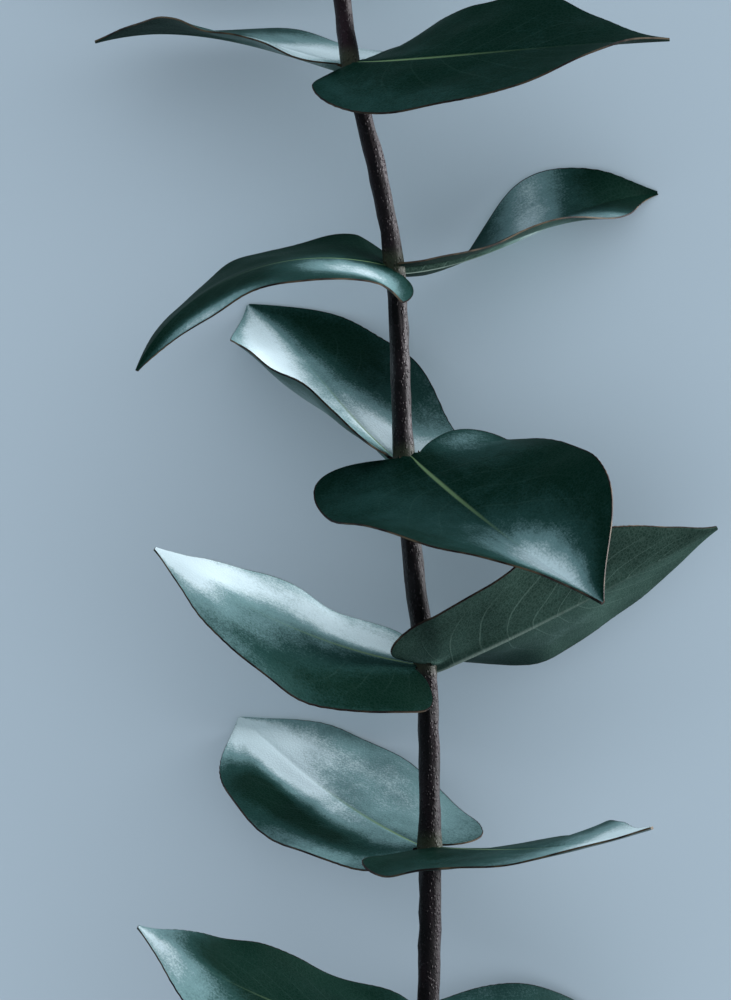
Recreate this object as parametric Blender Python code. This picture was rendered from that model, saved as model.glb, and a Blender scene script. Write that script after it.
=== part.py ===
"""Eucalyptus branch lying on its back leaves: one stem, nine opposite pairs of leaves, a growing tip.

Metres, Z up. The stem runs along Y, X is to the right and Z looks up to the camera.
The values below are in millimetres, read by eye from the photograph with the stem plane at z = 0.
"""
from math import cos, pi, sin

import bpy
import numpy as np
from mathutils import Vector

for old in list(bpy.data.objects):
    bpy.data.objects.remove(old, do_unlink=True)

MM = 0.001
SCALE = 0.145                       # millimetres per pixel of the photograph, on the stem
MIDDLE = (365.5, 500.0)             # pixel of the picture's middle
REST = -30.0                        # height of the table under the stem plane
SOFT = 1.5                          # how softly a leaf bends where it lies on the table
GAP = 0.35                          # air between the stem and a leaf
BLADE = 0.6                         # thickness of a leaf blade
RIB = 1.1                           # thickness of a leaf at its midrib
ORIGIN = (5.8, 3.4, REST)           # middle of the part's box on the table, in the values' frame


def row(pixel_y):
    """Height on the picture in millimetres for a pixel row."""
    return (MIDDLE[1] - pixel_y) * SCALE


# The stem's middle line in pixels, from the clean cut at the bottom to the growing tip.
STEM_LINE = [(424, 1345), (427, 1180), (428, 1032), (430, 940), (430, 845), (429, 745), (425, 662),
             (413, 560), (404, 457), (400, 360), (394, 264), (377, 170), (351, 65), (340, -20),
             (326, -115), (312, -205), (303, -265), (295, -335)]
NODE_ROWS = (1038, 845, 662, 457, 264, 62, -115, -225, -300)     # where the leaf pairs sit, in pixels
STEM_RADIUS = ((-125, -77, 10, 70, 110, 122), (1.75, 1.6, 1.4, 1.25, 0.95, 0.7))

# Each leaf: a = heading round the stem, e = rise, r = roll, in degrees at the base, middle and tip;
# L = length, w = half width; fold = how far each half is folded up at the midrib, bend = how much further
# it curls up to its edge, fold2 and bend2 = the same for the second half; wave and shift = height and
# place of the edge's waves; the rest shape the outline (lobe and corner at the base, widest place, full
# and taper to the tip).
SHAPE = dict(lobe=0.10, corner=0.5, widest=0.33, full=0.62, taper=0.25, fold=(12, 12, 6), fold2=None,
             bend=(0, 0, 0), bend2=None, wave=(0.6, 0.6), shift=(0, 0.37), skew=1.0)
LEAVES = {
    "leaf_1_left": dict(a=(160, 162, 166), e=(10, 24, 36), r=(28, 30, 36), L=45, w=15.5,
                        fold=(-12, -14, -6), fold2=(-4, -4, 0), corner=0.7, full=0.7),
    "leaf_1_right": dict(a=(-46, -44, -40), e=(-14, -8, 2), r=(-6, -40, -70), L=46, w=14,
                         fold=(-16, 4, 6), lobe=0.05),
    "leaf_2_left": dict(a=(228, 230, 226), e=(12, 22, 30), r=(15, 20, 22), L=45, w=15.5, fold=(2, 8, 6),
                        fold2=(-10, -6, 4), corner=0.7, full=0.8, taper=0.5),
    "leaf_2_right": dict(a=(52, 48, 40), e=(2, 7, 18), r=(-7, -9, -9), L=42, w=14.5, fold=(-18, 2, 4),
                         fold2=(0, 2, 4), skew=1.2, lobe=0.12, corner=0.7),
    "leaf_3_left": dict(a=(160, 162, 166), e=(10, 24, 36), r=(26, 28, 36), L=42, w=14.2,
                        fold=(-10, -14, -6), fold2=(-4, 0, 0), lobe=0.07, corner=0.7, full=0.7),
    "leaf_3_right": dict(a=(-6, -18, -10), e=(20, 25, 27), r=(18, 38, 38), L=47, w=15.5, fold=(16, 4, 6),
                         fold2=(12, 12, 8), lobe=0.24, corner=0.8),
    "leaf_4_left": dict(a=(236, 236, 222), e=(24, 34, 32), r=(-4, 2, 10), L=45, w=16.5, fold=(16, 3, -8),
                        bend=(22, 38, 8), fold2=(0, 11, 24), bend2=(14, 20, 20), skew=0.88, corner=0.7,
                        full=0.72, taper=0.5),
    "leaf_4_right": dict(a=(56, 50, 40), e=(-29, -27, -26), r=(-15, -16, -30), L=44, w=17.5,
                         fold=(-4, 31, 44), fold2=(-14, 12, 46), lobe=0.18, corner=0.95, full=0.88,
                         taper=0.55, wave=(0.15, 0.5), shift=(0, 0.45)),
    "leaf_5_left": dict(a=(146, 154, 160), e=(8, -20, -64), r=(36, 6, 22), L=45, w=12, fold=(-6, -6, -24)),
    "leaf_5_right": dict(a=(-38, -37, -36), e=(4, 20, 5), r=(0, 4, -80), L=51, w=13, fold=(-8, 2, 4),
                         bend=(0, 6, 20), fold2=(6, 2, 35), bend2=(0, 0, 0), skew=0.65, widest=0.62,
                         full=0.8, taper=0.25),
    "leaf_6_left": dict(a=(218, 205, 190), e=(16, 11, -14), r=(6, 4, 4), L=42, w=15, fold=(6, 6, 6)),
    "leaf_6_right": dict(a=(46, 22, 4), e=(-5, 2, 2), r=(-23, -38, -8), L=48, w=15, fold=(-4, 4, 14),
                         widest=0.38, full=0.66, taper=0.3, corner=0.7, lobe=0.05),
    "leaf_7_left": dict(a=(140, 146, 152), e=(26, 20, 0), r=(16, 10, 0), L=38, w=13, fold=(14, 10, 8),
                        lobe=0.05),
    "leaf_7_right": dict(a=(-40, -34, -28), e=(14, 26, 10), r=(-4, -6, 0), L=38, w=13,
                         fold=(-10, 8, 8), lobe=0.05),
    "leaf_8_left": dict(a=(232, 228, 222), e=(38, 34, 24), r=(4, 6, 8), L=27, w=9, fold=(20, 12, 8),
                        lobe=0.04),
    "leaf_8_right": dict(a=(52, 48, 40), e=(38, 36, 28), r=(-4, -6, -8), L=27, w=9,
                         fold=(2, 12, 8), lobe=0.04),
    "leaf_9_left": dict(a=(146, 150, 154), e=(54, 50, 44), r=(6, 4, 0), L=17, w=5.5,
                        fold=(16, 14, 8), lobe=0.03, wave=(0.2, 0.2)),
    "leaf_9_right": dict(a=(-36, -32, -30), e=(54, 52, 46), r=(-6, -4, 0), L=17, w=5.5,
                         fold=(16, 14, 8), lobe=0.03, wave=(0.2, 0.2)),
}
ROWS, COLS = 14, 4                  # cells along a leaf and across each half


def smooth_line(points, steps=12):
    """A smooth line through the points (Catmull-Rom)."""
    p = np.array(points, float)
    p = np.vstack([2 * p[0] - p[1], p, 2 * p[-1] - p[-2]])
    out = []
    for i in range(1, len(p) - 2):
        a, b, c, d = p[i - 1:i + 3]
        for t in np.linspace(0, 1, steps, endpoint=False):
            out.append(0.5 * (2 * b + (c - a) * t + (2 * a - 5 * b + 4 * c - d) * t ** 2
                              + (3 * b - a - 3 * c + d) * t ** 3))
    out.append(p[-2])
    return np.array(out)


LINE = smooth_line([((x - MIDDLE[0]) * SCALE, row(y), 0.0) for x, y in STEM_LINE])


def stem_at(y):
    """The stem's middle at a height."""
    return np.array([np.interp(y, LINE[:, 1], LINE[:, k]) for k in range(3)])


def stem_radius(y):
    """Thinner to the top, a little thicker at each leaf pair."""
    y = np.asarray(y, float)
    swell = sum(np.exp(-((y - row(n)) / 2.2) ** 2) for n in NODE_ROWS)
    return np.interp(y, *STEM_RADIUS) * (1 + 0.14 * swell)


def three(values, t):
    """Smooth value through those at the base, middle and tip."""
    a, b, c = values
    return a * (1 - t) * (1 - 2 * t) + b * 4 * t * (1 - t) + c * t * (2 * t - 1)


def bezier(points, t):
    a, b, c, d = (np.array(q, float) for q in points)
    t = t[:, None]
    return a * (1 - t) ** 3 + 3 * b * t * (1 - t) ** 2 + 3 * c * t ** 2 * (1 - t) + d * t ** 3


def half_outline(s, width):
    """Half the leaf's outline from the notch at the stem to the tip: along the rib and across."""
    L, top = s["L"], s["widest"] * s["L"]
    n = round(ROWS * 0.42)
    lobe = np.array((-1.3 * s["lobe"] * L, s["corner"] * width))
    foot = 3.0 * min(1, L / 42)
    low = bezier([foot * lobe / np.linalg.norm(lobe), lobe, (top - 0.33 * L, width), (top, width)],
                 np.linspace(0, 1, n + 1))
    high = bezier([(top, width), (s["full"] * L, width), (0.84 * L, s["taper"] * width), (L, 0.35)],
                  np.linspace(0, 1, ROWS - n + 1))
    return np.vstack([low, high[1:]])


def leaf_layers(name):
    """The upper and the under surface of a leaf as rows of points, in millimetres."""
    s = dict(SHAPE)
    s.update(LEAVES[name])
    L, steps = s["L"], 60
    height = row(NODE_ROWS[int(name.split("_")[1]) - 1])
    t = np.linspace(0, 1, steps + 1)
    a, e, r = (np.radians(three(s[k], t)) for k in "aer")
    along = np.stack([np.cos(e) * np.cos(a), np.sin(e), np.cos(e) * np.sin(a)], 1)
    flat = np.stack([-np.sin(a), 0 * a, np.cos(a)], 1)
    up = np.cross(flat, along)
    side = np.cos(r)[:, None] * flat + np.sin(r)[:, None] * up
    face = np.cos(r)[:, None] * up - np.sin(r)[:, None] * flat
    # the midrib starts just off the stem and follows the heading and the rise
    rib = np.zeros((steps + 1, 3))
    reach = stem_radius(height) + GAP + 0.1
    rib[0] = stem_at(height) + reach * np.array([np.cos(a[0]), 0, np.sin(a[0])])
    for i in range(1, steps + 1):
        rib[i] = rib[i - 1] + 0.5 * (along[i - 1] + along[i]) * L / steps

    def at(curve, x):
        u = np.clip(x / L, 0, 1) * steps
        return np.array([np.interp(u, np.arange(steps + 1), curve[:, k]) for k in range(3)])

    tt = np.linspace(0, 1, ROWS + 1)
    on_rib = L * (0.15 * tt + 0.85 * tt ** 1.15)
    top = np.zeros((ROWS + 1, 2 * COLS + 1, 3))
    under = np.zeros_like(top)
    for j in range(-COLS, COLS + 1):
        second = j > 0
        width = s["w"] * (s["skew"] if second else 1.0)
        edge = half_outline(s, width)
        fold = s["fold2"] if second and s["fold2"] else s["fold"]
        bend = s["bend2"] if second and s["bend2"] else s["bend"]
        tall, shift = s["wave"][int(second)], s["shift"][int(second)]
        v = (abs(j) / COLS) ** 1.2
        for i in range(ROWS + 1):
            x = on_rib[i] * (1 - v) + edge[i, 0] * v
            y = edge[i, 1] * v
            here = min(max(x / L, 0), 1)
            # each half is an arc: its slope grows from the fold at the midrib to the edge
            slope, curl = np.radians(three(fold, here)), np.radians(max(three(bend, here), 0.5)) / width
            reach_out = (np.sin(slope + curl * y) - np.sin(slope)) / curl
            lift = (np.cos(slope) - np.cos(slope + curl * y)) / curl
            lift += tall * (y / width) ** 2 * np.sin(2 * np.pi * (2 * x / L + shift))
            p = at(rib, x) + min(x, 0) * along[0]
            hand = 1 if second else -1
            p = p + hand * reach_out * at(side, x) + lift * at(face, x)
            # the blade's slope, but none at the midrib, where the two halves share their points
            turn = (slope + curl * y) * min(1, y / 1.5)
            normal = np.cos(turn) * at(face, x) - hand * np.sin(turn) * at(side, x)
            # thick at the midrib and thin to the edge, all under the upper surface
            ridge = (RIB - BLADE) * min(1, 1.8 * max(0, 0.85 - i / ROWS)) if j == 0 else 0.0
            p, normal = lie_on_table(p, normal)
            top[i, j + COLS] = clear_of_stem(p)
            under[i, j + COLS] = clear_of_stem(p - (BLADE + ridge) * normal)
    return top, under


def lie_on_table(p, normal):
    """Bend whatever would reach through the table flat along it; the blade's own thickness is under it."""
    depth = p[2] - (REST + BLADE)
    if depth < SOFT:
        p = np.array([p[0], p[1], REST + BLADE + max(depth + SOFT, 0) ** 2 / (4 * SOFT)])
        flatter = max(depth + SOFT, 0) / (2 * SOFT)
        normal = normal * (flatter, flatter, 1)
        normal = normal / np.linalg.norm(normal)
    return p, normal


def clear_of_stem(p):
    """Push a point that comes too near the stem straight out from it, and less and less farther away."""
    out = p - stem_at(p[1])
    out[1] = 0
    far = np.linalg.norm(out)
    need = stem_radius(p[1]) + GAP + 0.1
    wanted = max(need, (far ** 4 + (0.93 * need) ** 4) ** 0.25)
    return p + out / far * (wanted - far) if 1e-6 < far < 3 * need else p


def material(name, colour, rough):
    m = bpy.data.materials.new(name)
    m.use_nodes = True
    b = m.node_tree.nodes["Principled BSDF"]
    b.inputs["Base Color"].default_value = (*colour, 1)
    b.inputs["Roughness"].default_value = rough
    return m


def place(p):
    """Millimetres of the photograph's frame to metres of the part's frame."""
    return tuple((p[k] - ORIGIN[k]) * MM for k in range(3))


def add(name, points, faces, mat):
    mesh = bpy.data.meshes.new(name)
    mesh.from_pydata([place(p) for p in points], [], faces)
    mesh.update()
    for f in mesh.polygons:
        f.use_smooth = True
    mesh.materials.append(mat)
    ob = bpy.data.objects.new(name, mesh)
    bpy.context.scene.collection.objects.link(ob)
    return ob


def build_leaf(name, mat):
    top, under = leaf_layers(name)
    rows, cols = top.shape[:2]
    count = rows * cols
    faces = []
    for i in range(rows - 1):
        for j in range(cols - 1):
            a, b = i * cols + j, i * cols + j + 1
            c, d = b + cols, a + cols
            for f in ((a, b, c), (a, c, d)) if j >= COLS else ((a, b, d), (b, c, d)):
                faces += [f, tuple(count + k for k in reversed(f))]
    # the edge all round, from the notch up the second half, over the tip and down the first half
    loop = [j for j in range(cols)] + [i * cols + cols - 1 for i in range(1, rows)]
    loop += [(rows - 1) * cols + j for j in range(cols - 2, -1, -1)] + [i * cols for i in range(rows - 2, 0, -1)]
    for p, q in zip(loop, loop[1:] + loop[:1]):
        faces += [(q, p, p + count), (q, p + count, q + count)]
    return add(name, np.vstack([top.reshape(-1, 3), under.reshape(-1, 3)]), faces, mat)


def build_stem(mat):
    """A round stem with a clean cut at the bottom, slightly thicker at the leaf pairs."""
    heights = [row(1345)]
    marks = sorted({row(1345), row(-335)} | {row(n) + d for n in NODE_ROWS for d in (-3.6, -1.2, 1.2, 3.6)})
    heights = []
    for a, b in zip(marks[:-1], marks[1:]):
        n = max(1, round((b - a) / 7))
        heights += list(np.linspace(a, b, n, endpoint=False))
    heights.append(marks[-1])
    sides = 14
    points = []
    for y in heights:
        c, r = stem_at(y), float(stem_radius(y))
        d = Vector(stem_at(y + 0.5) - stem_at(y - 0.5)).normalized()
        u = d.cross(Vector((0, 0, 1))).normalized()
        w = d.cross(u)
        for k in range(sides):
            g = 2 * pi * k / sides
            points.append(tuple(Vector(c) + r * (cos(g) * u + sin(g) * w)))
    faces = []
    for i in range(len(heights) - 1):
        for k in range(sides):
            n = (k + 1) % sides
            faces.append((i * sides + k, i * sides + n, (i + 1) * sides + n, (i + 1) * sides + k))
    faces.append(tuple(reversed(range(sides))))
    faces.append(tuple(range((len(heights) - 1) * sides, len(heights) * sides)))
    ob = add("stem", points, faces, mat)
    for f in ob.data.polygons:
        if len(f.vertices) > 4:
            f.use_smooth = False
    return ob


def build_bud(mat):
    """The closed growing tip: two tiny leaves pressed together, a pointed egg on the stem's end."""
    y0 = row(-335) + GAP
    base = stem_at(row(-335))
    lean = Vector(stem_at(row(-335)) - stem_at(row(-320))).normalized()
    u = lean.cross(Vector((0, 0, 1))).normalized()
    w = lean.cross(u)
    start = Vector((base[0], base[1], base[2])) + lean * GAP
    profile = [(0.0, 0.55), (1.2, 1.05), (2.8, 1.25), (4.6, 1.0), (6.2, 0.6), (7.6, 0.22)]
    sides = 12
    points, faces = [], []
    for along, r in profile:
        for k in range(sides):
            g = 2 * pi * k / sides
            points.append(tuple(start + lean * along + r * (cos(g) * 1.15 * u + sin(g) * 0.8 * w)))
    for i in range(len(profile) - 1):
        for k in range(sides):
            n = (k + 1) % sides
            faces.append((i * sides + k, i * sides + n, (i + 1) * sides + n, (i + 1) * sides + k))
    faces.append(tuple(reversed(range(sides))))
    faces.append(tuple(range((len(profile) - 1) * sides, len(profile) * sides)))
    return add("tip_bud", points, faces, mat)


LEAF_GREEN = material("leaf_green", (0.10, 0.19, 0.17), 0.55)
BARK = material("bark", (0.075, 0.045, 0.045), 0.8)
BUD_GREEN = material("bud_green", (0.22, 0.32, 0.26), 0.6)

build_stem(BARK)
for leaf_name in LEAVES:
    build_leaf(leaf_name, LEAF_GREEN)
build_bud(BUD_GREEN)
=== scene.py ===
"""A cut eucalyptus branch with round waxy leaves, lying on a pale table and seen from straight above."""
from math import atan2, cos, exp, pi, radians, sin

import bpy
import numpy as np
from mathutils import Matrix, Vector, noise


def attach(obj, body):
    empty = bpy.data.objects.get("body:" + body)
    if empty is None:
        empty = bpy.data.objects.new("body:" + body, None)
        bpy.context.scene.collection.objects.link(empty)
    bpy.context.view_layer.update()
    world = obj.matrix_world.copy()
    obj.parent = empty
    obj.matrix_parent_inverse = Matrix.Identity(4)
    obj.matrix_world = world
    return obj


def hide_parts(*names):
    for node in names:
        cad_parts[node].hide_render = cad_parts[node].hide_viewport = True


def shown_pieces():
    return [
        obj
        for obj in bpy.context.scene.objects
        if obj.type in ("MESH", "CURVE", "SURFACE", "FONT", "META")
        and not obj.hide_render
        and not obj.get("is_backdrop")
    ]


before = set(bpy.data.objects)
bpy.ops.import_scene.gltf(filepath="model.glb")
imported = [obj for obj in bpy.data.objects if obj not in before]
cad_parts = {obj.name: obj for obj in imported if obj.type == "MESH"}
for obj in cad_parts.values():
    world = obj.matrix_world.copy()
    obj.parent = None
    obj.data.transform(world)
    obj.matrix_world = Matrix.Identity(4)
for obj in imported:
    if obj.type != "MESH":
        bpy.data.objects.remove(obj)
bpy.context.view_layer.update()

MM = 0.001
SCALE = 0.145                       # millimetres per pixel of the photograph, on the stem
MIDDLE = (365.5, 500.0)             # pixel of the picture's middle
REST = -30.0                        # height of the table under the stem plane
SOFT = 1.5                          # how softly a leaf bends where it lies on the table
BLADE = 0.4                         # thickness of a leaf blade
RIB = 1.2                           # thickness of a leaf at its midrib
GAP = 0.45                          # air between a leaf and the stem
SCALLOP = 1.3                       # length of one scallop of a leaf's edge
FOOT = 0.9                          # how far a midrib's foot reaches into the bark
ORIGIN = (5.8, 3.4, REST)           # middle of the branch's box on the table
LENS, SENSOR = 120, 36              # camera lens and the length of the picture's long side on the sensor
PICTURE_HEIGHT = 1000               # pixels
CUT_ROW, TIP_ROW = 1345, -335       # pixel rows of the stem's cut end and of its tip


def row(pixel_y):
    """Height on the picture in millimetres for a pixel row."""
    return (MIDDLE[1] - pixel_y) * SCALE


# The stem's middle line in pixels, from the clean cut at the bottom to the growing tip.
STEM_LINE = [(424, CUT_ROW), (427, 1180), (428, 1032), (430, 940), (430, 845), (429, 745), (425, 662),
             (413, 560), (404, 457), (400, 360), (394, 264), (377, 170), (351, 65), (340, -20),
             (326, -115), (312, -205), (303, -265), (295, TIP_ROW)]
NODE_ROWS = (1038, 845, 662, 457, 264, 62, -115, -225, -300)     # where the leaf pairs sit, in pixels
STEM_RADIUS = ((-125, -77, 10, 70, 110, 122), (1.75, 1.6, 1.4, 1.25, 0.95, 0.7))

# Each leaf: a = heading round the stem, e = rise, r = roll, in degrees at the base, middle and tip;
# L = length, w = half width; fold = how far each half is folded up at the midrib, bend = how much further
# it curls up to its edge, fold2 and bend2 = the same for the second half; the rest shape the outline.
SHAPE = dict(lobe=0.10, corner=0.5, widest=0.33, full=0.62, taper=0.25, fold=(12, 12, 6), fold2=None,
             bend=(0, 0, 0), bend2=None, wave=(0.6, 0.6), shift=(0, 0.37), skew=1.0)
LEAVES = {
    "leaf_1_left": dict(a=(160, 162, 166), e=(10, 24, 36), r=(28, 30, 36), L=45, w=15.5,
                        fold=(-12, -14, -6), fold2=(-4, -4, 0), corner=0.7, full=0.7),
    "leaf_1_right": dict(a=(-46, -44, -40), e=(-14, -8, 2), r=(-6, -40, -70), L=46, w=14,
                         fold=(-16, 4, 6), lobe=0.05),
    "leaf_2_left": dict(a=(228, 230, 226), e=(12, 22, 30), r=(15, 20, 22), L=45, w=15.5, fold=(2, 8, 6),
                        fold2=(-10, -6, 4), corner=0.7, full=0.8, taper=0.5),
    "leaf_2_right": dict(a=(52, 48, 40), e=(2, 7, 18), r=(-7, -9, -9), L=42, w=14.5, fold=(-18, 2, 4),
                         fold2=(0, 2, 4), skew=1.2, lobe=0.12, corner=0.7),
    "leaf_3_left": dict(a=(160, 162, 166), e=(10, 24, 36), r=(26, 28, 36), L=42, w=14.2,
                        fold=(-10, -14, -6), fold2=(-4, 0, 0), lobe=0.07, corner=0.7, full=0.7),
    "leaf_3_right": dict(a=(-6, -18, -10), e=(20, 25, 27), r=(18, 38, 38), L=47, w=15.5, fold=(16, 4, 6),
                         fold2=(12, 12, 8), lobe=0.24, corner=0.8),
    "leaf_4_left": dict(a=(236, 236, 222), e=(24, 34, 32), r=(-4, 2, 10), L=45, w=16.5, fold=(16, 3, -8),
                        bend=(22, 38, 8), fold2=(0, 11, 24), bend2=(14, 20, 20), skew=0.88, corner=0.7,
                        full=0.72, taper=0.5),
    "leaf_4_right": dict(a=(56, 50, 40), e=(-29, -27, -26), r=(-15, -16, -30), L=44, w=17.5,
                         fold=(-4, 31, 44), fold2=(-14, 12, 46), lobe=0.18, corner=0.95, full=0.88,
                         taper=0.55, wave=(0.15, 0.5), shift=(0, 0.45)),
    "leaf_5_left": dict(a=(146, 154, 160), e=(8, -20, -64), r=(36, 6, 22), L=45, w=12, fold=(-6, -6, -24)),
    "leaf_5_right": dict(a=(-38, -37, -36), e=(4, 20, 5), r=(0, 4, -80), L=51, w=13, fold=(-8, 2, 4),
                         bend=(0, 6, 20), fold2=(6, 2, 35), bend2=(0, 0, 0), skew=0.65, widest=0.62,
                         full=0.8, taper=0.25),
    "leaf_6_left": dict(a=(218, 205, 190), e=(16, 11, -14), r=(6, 4, 4), L=42, w=15, fold=(6, 6, 6)),
    "leaf_6_right": dict(a=(46, 22, 4), e=(-5, 2, 2), r=(-23, -38, -8), L=48, w=15, fold=(-4, 4, 14),
                         widest=0.38, full=0.66, taper=0.3, corner=0.7, lobe=0.05),
    "leaf_7_left": dict(a=(140, 146, 152), e=(26, 20, 0), r=(16, 10, 0), L=38, w=13, fold=(14, 10, 8),
                        lobe=0.05),
    "leaf_7_right": dict(a=(-40, -34, -28), e=(14, 26, 10), r=(-4, -6, 0), L=38, w=13,
                         fold=(-10, 8, 8), lobe=0.05),
    "leaf_8_left": dict(a=(232, 228, 222), e=(38, 34, 24), r=(4, 6, 8), L=27, w=9, fold=(20, 12, 8),
                        lobe=0.04),
    "leaf_8_right": dict(a=(52, 48, 40), e=(38, 36, 28), r=(-4, -6, -8), L=27, w=9,
                         fold=(2, 12, 8), lobe=0.04),
    "leaf_9_left": dict(a=(146, 150, 154), e=(54, 50, 44), r=(6, 4, 0), L=17, w=5.5,
                        fold=(16, 14, 8), lobe=0.03, wave=(0.2, 0.2)),
    "leaf_9_right": dict(a=(-36, -32, -30), e=(54, 52, 46), r=(-6, -4, 0), L=17, w=5.5,
                         fold=(16, 14, 8), lobe=0.03, wave=(0.2, 0.2)),
}

# How pale each leaf is painted, 0 deep green to 1 white: its waxy coat mixed with painted sheen where it
# turns edge-on to the light and painted shade where it faces away, and its paler or darker patches, partly
# waxy coat and partly painted highlight and shade:
# place along the leaf, place across it, how much paler, length, width.
WAX_AND_PAINTED_LIGHT = {
    "leaf_1_left": (0.36, (0.95, 0.0, 0.64, 0.24, 1.5), (0.52, 0.45, -0.80, 0.34, 0.6)),
    "leaf_1_right": (0.35,),
    "leaf_2_left": (0.46, (0.97, -0.2, 0.80, 0.34, 1.0), (0.60, -0.14, 0.34, 0.40, 0.20),
                    (0.62, -0.85, -0.56, 0.18, 0.3), (0.50, -0.55, -0.55, 0.30, 0.18),
                    (0.88, -0.60, 0.08, 0.14, 0.3),
                    (0.35, -0.95, 0.20, 0.3, 0.25), (0.45, 0.50, 0.22, 0.4, 0.5)),
    "leaf_2_right": (0.06, (0.95, 0.0, 1.28, 0.30, 2.0), (0.45, 0.0, 0.12, 0.2, 2.0)),
    "leaf_3_left": (0.30, (1.0, 0.0, 0.86, 0.26, 1.2), (0.42, 0.70, 0.60, 0.70, 0.55),
                    (0.15, 0.30, 0.38, 0.3, 0.3), (0.22, -0.75, -0.36, 0.3, 0.4),
                    (0.60, -0.90, 0.10, 0.4, 0.25), (0.66, -0.30, 0.16, 0.3, 0.3)),
    "leaf_3_right": (0.16, (0.50, -0.50, 0.24, 0.60, 0.50), (0.05, 0.50, 0.30, 0.15, 0.50),
                     (0.50, 0.50, -0.04, 0.40, 0.50)),
    "leaf_4_left": (0.36, (0.85, -0.40, 0.58, 0.32, 0.60), (0.45, -0.60, 0.52, 0.30, 0.50),
                    (0.65, 0.60, -0.38, 0.32, 0.45), (0.32, 0.15, 0.42, 0.22, 0.25),
                    (0.12, 0.60, 0.74, 0.26, 0.6)),
    "leaf_4_right": (0.04, (0.80, 0.08, 1.00, 0.26, 0.55), (0.30, 0.55, 0.22, 0.3, 0.5),
                     (0.15, -0.75, 0.50, 0.15, 0.35)),
    "leaf_5_left": (0.03, (0.28, -0.5, 0.86, 0.2, 0.5), (0.75, -0.9, 0.75, 0.2, 0.3)),
    "leaf_5_right": (0.03, (0.52, 0.0, 0.84, 0.16, 2.0)),
    "leaf_6_left": (0.10, (0.22, 0.0, 1.00, 0.28, 2.0)),
    "leaf_6_right": (0.07, (0.30, 0.85, 0.22, 0.25, 0.3)),
}
YOUNG_WAX = (0.4, (0.9, 0.0, 0.3, 0.4, 1.0))      # for the young leaves above them


def smooth_line(points, steps=12):
    """A smooth line through the points (Catmull-Rom)."""
    p = np.array(points, float)
    p = np.vstack([2 * p[0] - p[1], p, 2 * p[-1] - p[-2]])
    out = []
    for i in range(1, len(p) - 2):
        a, b, c, d = p[i - 1:i + 3]
        for t in np.linspace(0, 1, steps, endpoint=False):
            out.append(0.5 * (2 * b + (c - a) * t + (2 * a - 5 * b + 4 * c - d) * t ** 2
                              + (3 * b - a - 3 * c + d) * t ** 3))
    out.append(p[-2])
    return np.array(out)


LINE = smooth_line([((x - MIDDLE[0]) * SCALE, row(y), 0.0) for x, y in STEM_LINE])


def stem_at(y):
    """The stem's middle at each height, in millimetres."""
    return np.stack([np.interp(y, LINE[:, 1], LINE[:, k]) for k in range(3)], -1)


def stem_radius(y):
    """Thinner to the top, a little thicker at each leaf pair."""
    y = np.asarray(y, float)
    swell = sum(np.exp(-((y - row(n)) / 2.2) ** 2) for n in NODE_ROWS)
    return np.interp(y, *STEM_RADIUS) * (1 + 0.14 * swell)


def three(values, t):
    """Smooth value through those at the base, middle and tip."""
    a, b, c = values
    return a * (1 - t) * (1 - 2 * t) + b * 4 * t * (1 - t) + c * t * (2 * t - 1)


def bezier(points, t):
    a, b, c, d = (np.array(q, float) for q in points)
    t = t[..., None]
    return a * (1 - t) ** 3 + 3 * b * t * (1 - t) ** 2 + 3 * c * t ** 2 * (1 - t) + d * t ** 3


def half_outline(s, width, t):
    """Half the leaf's outline from the notch at the stem to the tip: along the rib and across."""
    L, top, turn = s["L"], s["widest"] * s["L"], 3 / 7
    lobe = np.array((-1.3 * s["lobe"] * L, s["corner"] * width))
    foot = 3.0 * min(1, L / 42)
    lower = bezier([foot * lobe / np.linalg.norm(lobe), lobe, (top - 0.33 * L, width), (top, width)],
                   np.clip(t / turn, 0, 1))
    upper = bezier([(top, width), (s["full"] * L, width), (0.84 * L, s["taper"] * width), (L, 0.3)],
                   np.clip((t - turn) / (1 - turn), 0, 1))
    return np.where((t < turn)[..., None], lower, upper)


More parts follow.
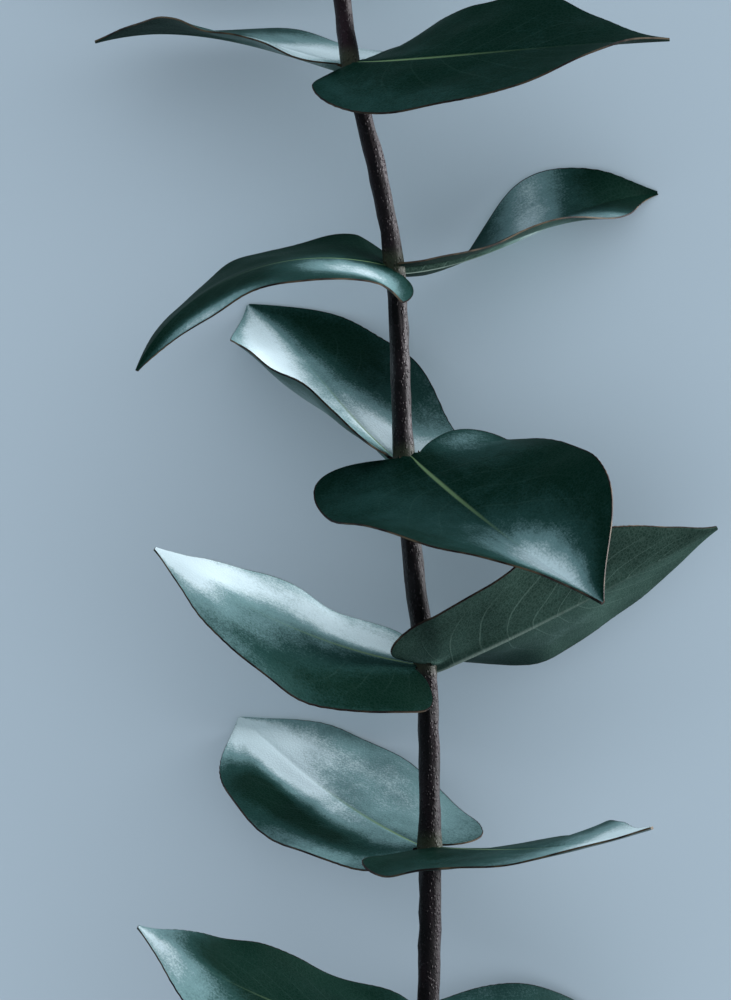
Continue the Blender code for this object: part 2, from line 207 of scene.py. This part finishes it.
def leaf_surface(name, t, v):
    """Upper surface of a leaf in millimetres; t runs from the stem to the tip and v from edge to edge."""
    s = dict(SHAPE, **LEAVES[name])
    L, steps = s["L"], 80
    pair = int(name.split("_")[1])
    height = row(NODE_ROWS[pair - 1])
    k = np.linspace(0, 1, steps + 1)
    a, e, r = (np.radians(three(s[key], k)) for key in "aer")
    along = np.stack([np.cos(e) * np.cos(a), np.sin(e), np.cos(e) * np.sin(a)], 1)
    flat = np.stack([-np.sin(a), 0 * a, np.cos(a)], 1)
    up = np.cross(flat, along)
    side = np.cos(r)[:, None] * flat + np.sin(r)[:, None] * up
    face = np.cos(r)[:, None] * up - np.sin(r)[:, None] * flat
    # the midrib starts beside the stem's bark and follows the heading and the rise
    rib = np.zeros((steps + 1, 3))
    rib[0] = stem_at(height) + (stem_radius(height) + GAP) * np.array([cos(a[0]), 0, sin(a[0])])
    for i in range(1, steps + 1):
        rib[i] = rib[i - 1] + 0.5 * (along[i - 1] + along[i]) * L / steps

    def at(curve, x):
        u = np.clip(x / L, 0, 1) * steps
        return np.stack([np.interp(u, np.arange(steps + 1), curve[:, c]) for c in range(3)], -1)

    second = v > 0
    width = s["w"] * np.where(second, s["skew"], 1.0)
    edge = np.where(second[..., None], half_outline(s, s["w"] * s["skew"], t), half_outline(s, s["w"], t))
    out = np.abs(v)
    x = L * (0.15 * t + 0.85 * t ** 1.15) * (1 - out) + edge[..., 0] * out
    y = edge[..., 1] * out
    # fine uneven scallops along the edge, and the rib's foot reaching into the bark
    uneven = 0.5 + 0.5 * np.sin(x * 0.35 + pair)
    y = y + (0.05 * uneven * out ** 8 * np.sin(2 * pi * x / SCALLOP)
             * np.clip(4 * t, 0, 1) * np.clip(8 - 8 * t, 0, 1))
    foot = np.clip(1 - t * 40, 0, 1) * np.clip(1.4 - y, 0, 1)
    x = x - FOOT * foot
    here = np.clip(x / L, 0, 1)
    fold = np.where(second, three(s["fold2"] or s["fold"], here), three(s["fold"], here))
    bend = np.where(second, three(s["bend2"] or s["bend"], here), three(s["bend"], here))
    tall, shift = (np.where(second, s[key][1], s[key][0]) for key in ("wave", "shift"))
    wave = tall * (y / width) ** 2 * np.sin(2 * pi * (2 * x / L + shift))
    small = min(1, L / 40)
    ripple = np.array([noise.noise((float(p) / 7 + 9 * pair, float(q) / 7, 3.1 * (a[0] > pi)))
                       for p, q in zip(x.ravel(), (y * np.sign(v)).ravel())]).reshape(x.shape)
    fold, bend = np.radians(fold), np.radians(np.maximum(bend, 0.5)) / width
    reach = (np.sin(fold + bend * y) - np.sin(fold)) / bend
    lift = (np.cos(fold) - np.cos(fold + bend * y)) / bend + wave
    # an uneven blade, with a shallow groove along the midrib
    lift = (lift + 0.35 * small * ripple * np.clip(y / 4, 0, 1)
            - 0.16 * np.exp(-(y / 0.45) ** 2) * np.clip(1.1 - t, 0, 1))
    p = at(rib, x) + np.minimum(x, 0)[..., None] * along[0]
    p = p + (np.sign(v) * reach)[..., None] * at(side, x) + lift[..., None] * at(face, x)
    # bend flat along the table what would reach through it
    depth = p[..., 2] - (REST + BLADE)
    p[..., 2] = REST + BLADE + np.where(depth < SOFT, np.maximum(depth + SOFT, 0) ** 2 / (4 * SOFT), depth)
    # keep the lobes clear of the stem, but not the rib's foot
    middle = stem_at(p[..., 1])
    away = (p - middle) * (1, 0, 1)
    far = np.linalg.norm(away, axis=-1)
    need = stem_radius(p[..., 1]) + GAP
    wanted = np.where(far < 3 * need, np.maximum(need, (far ** 4 + (0.93 * need) ** 4) ** 0.25), far)
    return p + away * ((wanted - far) * (1 - foot) / np.maximum(far, 1e-6))[..., None], s


def place(p):
    """Millimetres of the picture's frame to metres of the part's frame."""
    return (np.asarray(p) - ORIGIN) * MM


def only(ob):
    bpy.ops.object.select_all(action="DESELECT")
    ob.select_set(True)
    bpy.context.view_layer.objects.active = ob


# Materials

OWN_METRES = 3          # output of the texture coordinate node that follows the piece itself
ONE_NUMBER = 2          # output of the attribute node for values that aren't colours


class Finish:
    """A Principled material that is put together node by node."""

    def __init__(self, name):
        self.material = bpy.data.materials.new(name)
        self.material.use_nodes = True
        self.tree = self.material.node_tree
        self.shader = self.tree.nodes["Principled BSDF"]

    def add(self, kind, *inputs, out=0, **settings):
        n = self.tree.nodes.new("ShaderNode" + kind)
        for key, value in settings.items():
            if key in n.inputs:
                self.feed(n.inputs[key], value)
            else:
                setattr(n, key, value)
        for socket, value in zip(n.inputs, inputs):
            if value is not None:
                self.feed(socket, value)
        return n.outputs[out]

    def feed(self, socket, value):
        if isinstance(value, bpy.types.NodeSocket):
            self.tree.links.new(value, socket)
        else:
            socket.default_value = value

    def math(self, what, *inputs, clamp=False):
        return self.add("Math", *inputs, operation=what, use_clamp=clamp)

    def mix(self, amount, first, second, blend="MIX"):
        n = self.tree.nodes.new("ShaderNodeMix")
        n.data_type, n.blend_type = "RGBA", blend
        for socket, value in ((n.inputs[0], amount), (n.inputs[6], first), (n.inputs[7], second)):
            if isinstance(value, tuple) and len(value) == 3:
                value = (*value, 1)
            self.feed(socket, value)
        return n.outputs[2]

    def fade(self, value, start, end, to_start=0.0, to_end=1.0):
        n = self.tree.nodes.new("ShaderNodeMapRange")
        n.interpolation_type = "SMOOTHSTEP"
        for socket, v in zip(n.inputs, (value, start, end, to_start, to_end)):
            self.feed(socket, v)
        return n.outputs[0]

    def noise(self, where, size, detail=3.0, rough=0.55):
        return self.add("TexNoise", Vector=where, Scale=size, Detail=detail, Roughness=rough)

    def finish(self, **sockets):
        for key, value in sockets.items():
            if isinstance(value, tuple) and len(value) == 3:
                value = (*value, 1)
            self.feed(self.shader.inputs[key.replace("_", " ")], value)
        return self.material

    def bump(self, height, depth, normal=None):
        n = self.tree.nodes.new("ShaderNodeBump")
        n.inputs["Strength"].default_value = 1.0
        n.inputs["Distance"].default_value = depth
        self.feed(n.inputs["Height"], height)
        if normal is not None:
            self.feed(n.inputs["Normal"], normal)
        return n.outputs[0]


def leaf_finish(name, under):
    """Blue-green leathery blade with an uneven pale waxy coat mixed with painted sheen and painted shade, a
    net of fine veins and a thin dark edge.
    """
    f = Finish(name)
    spot = f.add("TexCoord", out=OWN_METRES)
    uv = f.add("UVMap", uv_map="UVMap")
    u, v, _ = (f.add("SeparateXYZ", uv, out=k) for k in range(3))
    across = f.math("ABSOLUTE", f.math("MULTIPLY_ADD", v, 2.0, -1.0))
    wander = f.noise(spot, 60.0, 1.0)
    # side veins leave the midrib and lean to the tip
    lean = f.math("MULTIPLY_ADD", across, -3.2, f.math("MULTIPLY", wander, 1.6))
    run = f.math("MULTIPLY_ADD", u, 11.0, lean)
    line = f.math("ABSOLUTE", f.math("SUBTRACT", f.math("FRACT", run), 0.5))
    vein = f.math("MULTIPLY", f.fade(line, 0.05, 0.0), f.fade(across, 0.93, 0.4))
    rib = f.fade(f.math("DIVIDE", across, f.math("MULTIPLY_ADD", u, -0.85, 1.0)), 0.038, 0.010)
    net = f.add("TexVoronoi", Vector=spot, Scale=1700.0, feature="DISTANCE_TO_EDGE")
    net = f.fade(net, 0.0, 0.20)
    grain = f.noise(spot, 3200.0, 3.0, 0.7)
    cloud = f.noise(spot, 75.0, 5.0, 0.62)
    streak = f.noise(f.add("Mapping", uv, Scale=(3.0, 42.0, 1.0)), 1.0, 3.0, 0.6)
    # the waxy paleness with painted sheen and painted shade, stored on the leaf's points, broken up by
    # clouds, streaks and grain
    painted = f.add("Attribute", attribute_name="wax_light", out=ONE_NUMBER)
    patchy = f.math("MULTIPLY_ADD", streak, 0.14, f.math("MULTIPLY_ADD", grain, 0.40, -0.55))
    patchy = f.math("MULTIPLY_ADD", f.noise(spot, 340.0, 3.0, 0.6), 0.22, patchy)
    wax_and_light = f.math("ADD", painted, f.math("MULTIPLY_ADD", cloud, 0.34, patchy))
    if under:
        deep, mid = (0.010, 0.028, 0.020), (0.036, 0.078, 0.062)
        pale, white = (0.12, 0.20, 0.18), (0.34, 0.44, 0.43)
        veins = (0.16, 0.25, 0.21)
    else:
        deep, mid = (0.001, 0.013, 0.008), (0.012, 0.043, 0.039)
        pale, white = (0.13, 0.23, 0.24), (0.55, 0.67, 0.71)
        veins = (0.07, 0.14, 0.12)
    # deep green through pale to white: waxy coat, with painted sheen at the pale end and painted shade at
    # the dark end
    colour = f.mix(f.fade(wax_and_light, 0.05, 0.38), deep, mid)
    colour = f.mix(f.fade(wax_and_light, 0.34, 0.68), colour, pale)
    colour = f.mix(f.fade(wax_and_light, 0.66, 1.00), colour, white)
    colour = f.mix(f.math("MULTIPLY", f.math("SUBTRACT", 1.0, net), 0.10 if under else 0.04), colour, veins)
    colour = f.mix(f.math("MULTIPLY", vein, 0.24 if under else 0.07), colour, veins)
    rib_colour = (0.22, 0.29, 0.25) if under else (0.15, 0.24, 0.12)
    colour = f.mix(f.math("MULTIPLY", rib, f.fade(u, 0.70, 0.05, 0.05, 0.9)), colour, rib_colour)
    colour = f.mix(f.fade(across, 0.987, 0.995), colour, (0.016, 0.006, 0.007))
    height = f.math("MULTIPLY_ADD", net, 0.35, f.math("MULTIPLY", grain, 0.5))
    height = f.math("MULTIPLY_ADD", vein, 0.5 if under else -0.06, height)
    rough = f.math("MULTIPLY_ADD", grain, 0.14, 0.50 if not under else 0.58)
    return f.finish(Base_Color=colour, Roughness=rough, Specular_IOR_Level=0.04,
                    Normal=f.bump(height, 0.00003))


def edge_finish():
    """The blade's thin dark maroon rim."""
    f = Finish("leaf_rim_maroon")
    spot = f.add("TexCoord", out=OWN_METRES)
    colour = f.mix(f.fade(f.noise(spot, 260.0), 0.35, 0.65), (0.010, 0.004, 0.004), (0.10, 0.075, 0.045))
    return f.finish(Base_Color=colour, Roughness=0.6, Specular_IOR_Level=0.2)


def bark_finish():
    """Dark maroon-brown young bark with pale warts, greener where leaves sit."""
    f = Finish("bark_maroon")
    spot = f.add("TexCoord", out=OWN_METRES)
    long_spot = f.add("Mapping", spot, Scale=(1.0, 0.35, 1.0))
    cloud = f.noise(long_spot, 420.0, 4.0, 0.6)
    wart = f.add("TexVoronoi", Vector=f.add("Mapping", spot, Scale=(1.0, 0.6, 1.0)), Scale=2300.0)
    wart = f.fade(wart, 0.42, 0.12)
    fine = f.noise(spot, 5200.0, 2.0, 0.7)
    place_y = f.add("SeparateXYZ", spot, out=1)
    green = None
    for n in NODE_ROWS:
        off = f.math("ABSOLUTE", f.math("SUBTRACT", place_y, (row(n) - ORIGIN[1]) * MM))
        near = f.fade(off, 0.0028, 0.0006)
        green = near if green is None else f.math("MAXIMUM", green, near)
    young = f.fade(place_y, 0.02, 0.11)
    colour = f.mix(f.fade(cloud, 0.35, 0.7), (0.003, 0.0015, 0.002), (0.014, 0.006, 0.009))
    colour = f.mix(f.math("MULTIPLY", young, 0.5), colour, (0.034, 0.014, 0.021))
    pale = f.math("MULTIPLY", wart, f.fade(fine, 0.40, 0.62, 0.1, 0.6))
    colour = f.mix(pale, colour, (0.055, 0.036, 0.042))
    colour = f.mix(f.math("MULTIPLY", green, 0.30), colour, (0.07, 0.10, 0.05))
    height = f.math("ADD", wart, f.math("MULTIPLY", fine, 0.45))
    rough = f.fade(cloud, 0.3, 0.7, 0.62, 0.45)
    return f.finish(Base_Color=colour, Roughness=rough, Specular_IOR_Level=0.3,
                    Normal=f.bump(height, 0.00014))


def cut_finish():
    """The clean cut through the young wood: pith, pale wood, a green ring and the bark's dark edge."""
    f = Finish("cut_wood")
    spot = f.add("TexCoord", out=OWN_METRES)
    end = place(stem_at(row(CUT_ROW)))
    here = f.add("Mapping", spot, Location=(-end[0], 0.0, -end[2]), Scale=(1.0, 0.0, 1.0))
    far = f.add("VectorMath", here, operation="LENGTH", out=1)
    wobble = f.noise(spot, 900.0)
    far = f.math("MULTIPLY_ADD", wobble, 0.00025, far)
    colour = f.mix(f.fade(far, 0.00035, 0.00055), (0.30, 0.22, 0.12), (0.52, 0.46, 0.30))
    colour = f.mix(f.fade(far, 0.00125, 0.00140), colour, (0.20, 0.27, 0.10))
    colour = f.mix(f.fade(far, 0.00155, 0.00170), colour, (0.035, 0.018, 0.020))
    return f.finish(Base_Color=colour, Roughness=0.75, Normal=f.bump(f.noise(spot, 3500.0, 2.0), 0.00005))


def bud_finish():
    """Pale waxy young green with a maroon blush to the point."""
    f = Finish("bud_pale_green")
    spot = f.add("TexCoord", out=OWN_METRES)
    tip = f.fade(f.add("SeparateXYZ", spot, out=1), 0.1205, 0.1255)
    colour = f.mix(f.fade(f.noise(spot, 700.0, 3.0), 0.35, 0.65), (0.10, 0.17, 0.12), (0.26, 0.36, 0.31))
    colour = f.mix(f.math("MULTIPLY", tip, 0.55), colour, (0.14, 0.05, 0.06))
    return f.finish(Base_Color=colour, Roughness=0.5, Normal=f.bump(f.noise(spot, 2500.0), 0.00004))


# Pieces

def wax_and_light_at(name, t, v):
    """How pale the leaf is painted at each point, its waxy coat mixed with painted sheen and painted shade:
    the leaf's own amount and its paler or darker patches.
    """
    own, *patches = WAX_AND_PAINTED_LIGHT.get(name, YOUNG_WAX)
    amount = np.full(len(t), own)
    for centre, side, more, long, wide in patches:
        amount += more * np.exp(-((t - centre) / long) ** 2 - ((v - side) / wide) ** 2)
    return amount


def make_leaf(name, along, across, finishes):
    """A grid sheet laid on the leaf's surface, then given its thickness and its rib."""
    bpy.ops.object.select_all(action="DESELECT")
    bpy.ops.mesh.primitive_grid_add(x_subdivisions=along, y_subdivisions=2 * across, size=1)
    ob = bpy.context.object
    ob.name = ob.data.name = "blade_" + name[5:]
    mesh = ob.data
    co = np.empty(len(mesh.vertices) * 3)
    mesh.vertices.foreach_get("co", co)
    co = co.reshape(-1, 3)
    t, v = co[:, 0] + 0.5, co[:, 1] * -2
    v = np.sign(v) * (0.35 * np.abs(v) + 0.65 * np.abs(v) ** 1.25)
    points, s = leaf_surface(name, t, v)
    mesh.vertices.foreach_set("co", place(points).ravel())
    for spot, loop in zip(mesh.uv_layers[0].data, mesh.loops):
        spot.uv = (t[loop.vertex_index], 0.5 + 0.5 * v[loop.vertex_index])
    mesh.uv_layers[0].name = "UVMap"
    # how pale each point is painted: waxy coat together with painted sheen and painted shade
    wax_light = mesh.attributes.new("wax_light", "FLOAT", "POINT")
    wax_light.data.foreach_set("value", wax_and_light_at(name, t, v))
    group = ob.vertex_groups.new(name="thick")
    small = min(1, s["L"] / 40)
    for i in range(len(t)):
        y = abs(v[i]) * s["w"]
        ridge = np.exp(-(y / (0.9 - 0.5 * t[i])) ** 2) * max(0, 1 - 1.25 * t[i]) * small
        group.add([i], BLADE / RIB * (1 - 0.4 * abs(v[i]) ** 8) + (1 - BLADE / RIB) * ridge, "REPLACE")
    for m in finishes:
        mesh.materials.append(m)
    m = ob.modifiers.new("blade", "SOLIDIFY")
    m.thickness, m.offset, m.vertex_group = RIB * MM, -1, "thick"
    m.material_offset, m.material_offset_rim = 1, 2
    only(ob)
    bpy.ops.object.modifier_apply(modifier="blade")
    bpy.ops.object.shade_smooth_by_angle(angle=radians(50))
    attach(ob, "root")
    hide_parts(name)
    return ob


def make_stem(finish, cut):
    """A cylinder cut into rings, bent along the stem's line and covered in small warts."""
    bottom, top, rings, sides = row(CUT_ROW), row(TIP_ROW), 640, 40
    bpy.ops.object.select_all(action="DESELECT")
    bpy.ops.mesh.primitive_cylinder_add(vertices=sides, radius=1, depth=2, end_fill_type="NGON")
    ob = bpy.context.object
    ob.name = ob.data.name = "bark_stem"
    bpy.ops.object.mode_set(mode="EDIT")
    bpy.ops.mesh.select_mode(type="EDGE")
    bpy.ops.mesh.select_all(action="DESELECT")
    bpy.ops.object.mode_set(mode="OBJECT")
    for e in ob.data.edges:
        a, b = (ob.data.vertices[i].co for i in e.vertices)
        e.select = abs(a.z - b.z) > 1
    bpy.ops.object.mode_set(mode="EDIT")
    bpy.ops.mesh.subdivide(number_cuts=rings)
    bpy.ops.object.mode_set(mode="OBJECT")
    for vert in ob.data.vertices:
        turn = atan2(vert.co.y, vert.co.x)
        y = bottom + (top - bottom) * (vert.co.z + 1) / 2
        along = Vector(stem_at(y + 0.5) - stem_at(y - 0.5)).normalized()
        u = along.cross(Vector((0, 0, 1))).normalized()
        w = along.cross(u)
        out = cos(turn) * u + sin(turn) * w
        r = float(stem_radius(y))
        spot = Vector(stem_at(y)) + r * out
        inner = min(1, (y - bottom) / 1.0, (top - y) / 1.0)
        wart = max(0, noise.noise(spot * 1.9) - 0.05) * 0.30 + noise.noise(spot * 0.55) * 0.16
        spot += out * wart * min(1, r / 1.3) * inner
        vert.co = Vector(place(spot))
    ob.data.materials.append(finish)
    ob.data.materials.append(cut)
    for f in ob.data.polygons:
        if len(f.vertices) > 4:
            f.material_index = 1
    only(ob)
    bpy.ops.object.mode_set(mode="EDIT")
    bpy.ops.mesh.select_all(action="SELECT")
    bpy.ops.mesh.normals_make_consistent(inside=False)
    bpy.ops.object.mode_set(mode="OBJECT")
    bpy.ops.object.shade_smooth_by_angle(angle=radians(50))
    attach(ob, "root")
    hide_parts("stem")


def make_bud(finish):
    """Two tiny closed leaves pressed together: an egg pulled to a point, with a seam down each side."""
    bpy.ops.object.select_all(action="DESELECT")
    bpy.ops.mesh.primitive_uv_sphere_add(segments=48, ring_count=32, radius=1)
    ob = bpy.context.object
    ob.name = ob.data.name = "closed_tip"
    base = stem_at(row(TIP_ROW))
    lean = Vector(base - stem_at(row(TIP_ROW + 15))).normalized()
    u = lean.cross(Vector((0, 0, 1))).normalized()
    w = lean.cross(u)
    heights, radii = (0, 0.06, 0.2, 0.4, 0.62, 0.82, 0.94, 1), (0, 0.62, 1.05, 1.25, 1.0, 0.6, 0.3, 0)
    for vert in ob.data.vertices:
        h = (vert.co.z + 1) / 2
        turn = atan2(vert.co.y, vert.co.x)
        r = float(np.interp(h, heights, radii))
        seam = 1 - 0.16 * exp(-(sin(turn - 0.5 * h) / 0.18) ** 2) * sin(pi * h)
        out = 1.15 * cos(turn) * u + 0.8 * sin(turn) * w
        spot = Vector(base) + lean * (7.55 * h + 0.35) + r * seam * out
        vert.co = Vector(place(spot))
    ob.data.materials.append(finish)
    only(ob)
    bpy.ops.object.mode_set(mode="EDIT")
    bpy.ops.mesh.select_all(action="SELECT")
    bpy.ops.mesh.normals_make_consistent(inside=False)
    bpy.ops.object.mode_set(mode="OBJECT")
    bpy.ops.object.shade_smooth()
    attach(ob, "root")
    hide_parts("tip_bud")


LEAF_FINISHES = (leaf_finish("leaf_upper", False), leaf_finish("leaf_under", True), edge_finish())
for leaf_name, values in LEAVES.items():
    big = values["L"] > 30          # the small leaves near the tip need fewer steps
    make_leaf(leaf_name, 110 if big else 70, 22 if big else 14, LEAF_FINISHES)
make_stem(bark_finish(), cut_finish())
make_bud(bud_finish())


# Table, light and camera

def table():
    """A plain matt table top just under the branch."""
    bpy.ops.object.select_all(action="DESELECT")
    bpy.ops.mesh.primitive_plane_add(size=8, location=(0, 0, -0.0001))
    ob = bpy.context.object
    ob.name = "table_top"
    f = Finish("table_pale_blue_grey")
    ob.data.materials.append(f.finish(Base_Color=(0.47, 0.565, 0.64), Roughness=0.9))
    ob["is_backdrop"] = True


def softbox(name, spot, size, power, colour, receivers):
    """A rectangular light that points at the branch and lights only the receivers."""
    bpy.ops.object.light_add(type="AREA", location=spot)
    ob = bpy.context.object
    ob.name = name
    ob.data.shape, ob.data.size, ob.data.size_y = "RECTANGLE", size[0], size[1]
    ob.data.energy, ob.data.color = power, colour
    ob.rotation_euler = (Vector((0, 0, 0.03)) - Vector(spot)).to_track_quat("-Z", "Y").to_euler()
    ob.light_linking.receiver_collection = receivers
    ob.light_linking.blocker_collection = branch
    return ob


table()
branch = bpy.data.collections.new("branch")
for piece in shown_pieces():
    branch.objects.link(piece)
ground = bpy.data.collections.new("ground")
ground.objects.link(bpy.data.objects["table_top"])
window = softbox("window", (0.06, 0.30, -0.62), (0.7, 0.5), 8, (0.93, 0.97, 1.0), branch)
window.visible_glossy = False
top = softbox("top_fill", (-0.20, 0.60, 0.45), (0.8, 0.4), 4, (0.90, 0.97, 1.0), branch)
top.visible_glossy = False
softbox("edge_light", (0.60, 0.10, -0.05), (0.15, 0.5), 9, (0.97, 0.97, 1.0), branch)
softbox("sky", (0.30, -0.10, 1.4), (3.6, 3.6), 42, (0.92, 0.96, 1.0), ground)

world = bpy.data.worlds.new("room")
bpy.context.scene.world = world
world.use_nodes = True
world.node_tree.nodes["Background"].inputs["Color"].default_value = (0.55, 0.66, 0.76, 1)
world.node_tree.nodes["Background"].inputs["Strength"].default_value = 0.32

camera = bpy.data.cameras.new("above")
camera.lens, camera.sensor_width, camera.sensor_fit = LENS, SENSOR, "AUTO"
camera.clip_start = 0.01
eye = bpy.data.objects.new("above", camera)
bpy.context.scene.collection.objects.link(eye)
# the height over the stem at which one of its pixels is SCALE millimetres
eye.location = place((0, 0, PICTURE_HEIGHT * SCALE / SENSOR * LENS))
bpy.context.scene.camera = eye
bpy.context.scene.view_settings.view_transform = "Standard"
